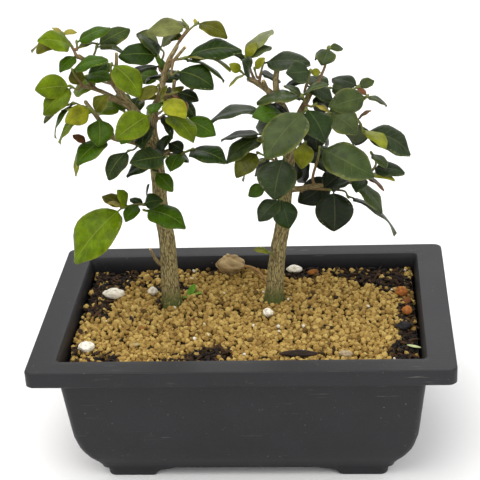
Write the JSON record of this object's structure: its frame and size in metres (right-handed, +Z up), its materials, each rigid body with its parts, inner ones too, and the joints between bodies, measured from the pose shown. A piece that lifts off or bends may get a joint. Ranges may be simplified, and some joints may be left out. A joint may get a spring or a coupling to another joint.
{
  "type": "potted bonsai trees",
  "caption": "Young broad-leaved bonsai trees standing side by side in a rectangular dark plastic training pot of granular soil.",
  "frame": {"origin": "middle of the pot's footprint, on the surface it stands on", "axes": "+X along the pot's long side, towards the tree with the darker leaves; +Y to the pot's back, so the front is -Y; +Z up"},
  "size_m": [0.2055, 0.133, 0.2161],
  "materials": {
    "dark_plastic": "moulded, slightly scuffed",
    "soil_grains": "dry fired-clay granules",
    "bark": "fissured bark",
    "left_leaf": "glossy green leaf; paper stands in for living leaf",
    "right_leaf": "dark green leaf with a grey sheen; paper stands in for living leaf",
    "tan_rock": "dull",
    "orange_pebble_back": "dull",
    "orange_pebble_front": "dull",
    "dark_stone": "dull",
    "pale_stone": "dull",
    "bark_strip": "dull",
    "perlite_left": "dull",
    "perlite_front": "dull",
    "perlite_trunk": "dull",
    "perlite_back": "dull",
    "perlite_middle": "dull"
  },
  "bodies": {
    "root": {"pot": "dark_plastic", "soil": "soil_grains", "left_tree_wood": "bark", "right_tree_wood": "bark", "tan_rock": "tan_rock", "orange_pebble_back": "orange_pebble_back", "orange_pebble_front": "orange_pebble_front", "dark_stone": "dark_stone", "pale_stone": "pale_stone", "bark_strip": "bark_strip", "perlite_left": "perlite_left", "perlite_front": "perlite_front", "perlite_trunk": "perlite_trunk", "perlite_back": "perlite_back", "perlite_middle": "perlite_middle", "left_spray_outer_tip": "left_leaf", "left_spray_top_middle": "left_leaf", "left_spray_outer_upper": "left_leaf", "left_spray_outer_middle": "left_leaf", "left_spray_outer_lower": "left_leaf", "left_spray_inner_upper": "left_leaf", "left_spray_front_upper": "left_leaf", "left_spray_top_back": "left_leaf", "left_spray_leader": "left_leaf", "left_spray_right_upper": "left_leaf", "left_spray_right_middle": "left_leaf", "left_spray_centre_front": "left_leaf", "left_spray_centre_back": "left_leaf", "left_spray_right_front": "left_leaf", "left_spray_right_lower": "left_leaf", "left_spray_big_front": "left_leaf", "left_spray_trunk_upper": "left_leaf", "left_spray_low_outer": "left_leaf", "left_spray_trunk_lower": "left_leaf", "left_spray_back_middle": "left_leaf", "left_spray_back_outer": "left_leaf", "right_spray_inner_top": "right_leaf", "right_spray_dome": "right_leaf", "right_spray_leader": "right_leaf", "right_spray_top_middle": "right_leaf", "right_spray_outer_top": "right_leaf", "right_spray_centre_upper": "right_leaf", "right_spray_inner_front": "right_leaf", "right_spray_centre_front": "right_leaf", "right_spray_big_front": "right_leaf", "right_spray_outer_upper": "right_leaf", "right_spray_outer_middle": "right_leaf", "right_spray_inner_middle": "right_leaf", "right_spray_trunk_lower": "right_leaf", "right_spray_trunk_front": "right_leaf", "right_spray_shade": "right_leaf", "right_spray_low_outer": "right_leaf", "right_spray_sprout": "right_leaf", "right_spray_back_middle": "right_leaf", "right_spray_back_outer": "right_leaf", "right_spray_back_lower": "right_leaf"}
  },
  "joints": []
}
